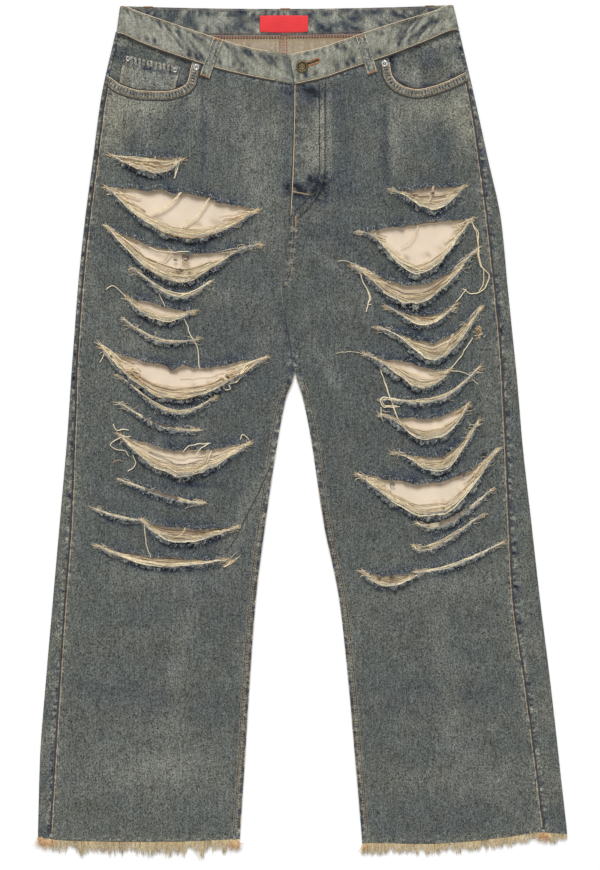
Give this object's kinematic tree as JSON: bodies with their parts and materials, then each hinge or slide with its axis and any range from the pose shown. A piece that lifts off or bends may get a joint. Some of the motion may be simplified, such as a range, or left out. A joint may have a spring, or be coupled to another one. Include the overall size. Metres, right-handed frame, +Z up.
{
  "type": "ripped jeans",
  "caption": "Wide-leg five-pocket jeans with torn, frayed fronts and raw fringed hems, laid flat with the front up.",
  "frame": {"origin": "middle of the footprint, on the surface the jeans lie on", "axes": "+Y from the hems to the waist, +X to the wearer's left leg, +Z up out of the front"},
  "size_m": [0.672, 1.0834, 0.0108],
  "materials": {
    "denim": "worn denim, matt, speckled",
    "denim_back": "worn denim, matt, speckled",
    "band_denim": "worn denim, matt, mottled",
    "facing_denim": "worn denim, matt",
    "fringe_yarn": "loose cotton yarn, matt",
    "label_cloth": "woven tape, matt",
    "bronze": "dark worn bronze",
    "nickel": "bright nickel"
  },
  "bodies": {
    "root": {"front_right": "denim", "front_left": "denim", "back_right": "denim_back", "back_left": "denim_back", "yoke_right": "denim_back", "yoke_left": "denim_back", "back_pocket_right": "denim_back", "back_pocket_left": "denim_back", "waistband": "band_denim", "waist_label": "label_cloth", "belt_loop_front_right": "denim", "belt_loop_front_left": "denim", "belt_loop_back_right": "denim_back", "belt_loop_back_centre": "denim_back", "belt_loop_back_left": "denim_back", "pocket_facing_right": "facing_denim", "pocket_facing_left": "facing_denim", "coin_pocket": "denim", "hem_fringe_right": "fringe_yarn", "hem_fringe_left": "fringe_yarn", "button": "bronze", "rivet_pocket_right": "nickel", "rivet_pocket_left": "nickel", "rivet_coin_outer": "nickel", "rivet_coin_inner": "nickel"}
  },
  "joints": []
}
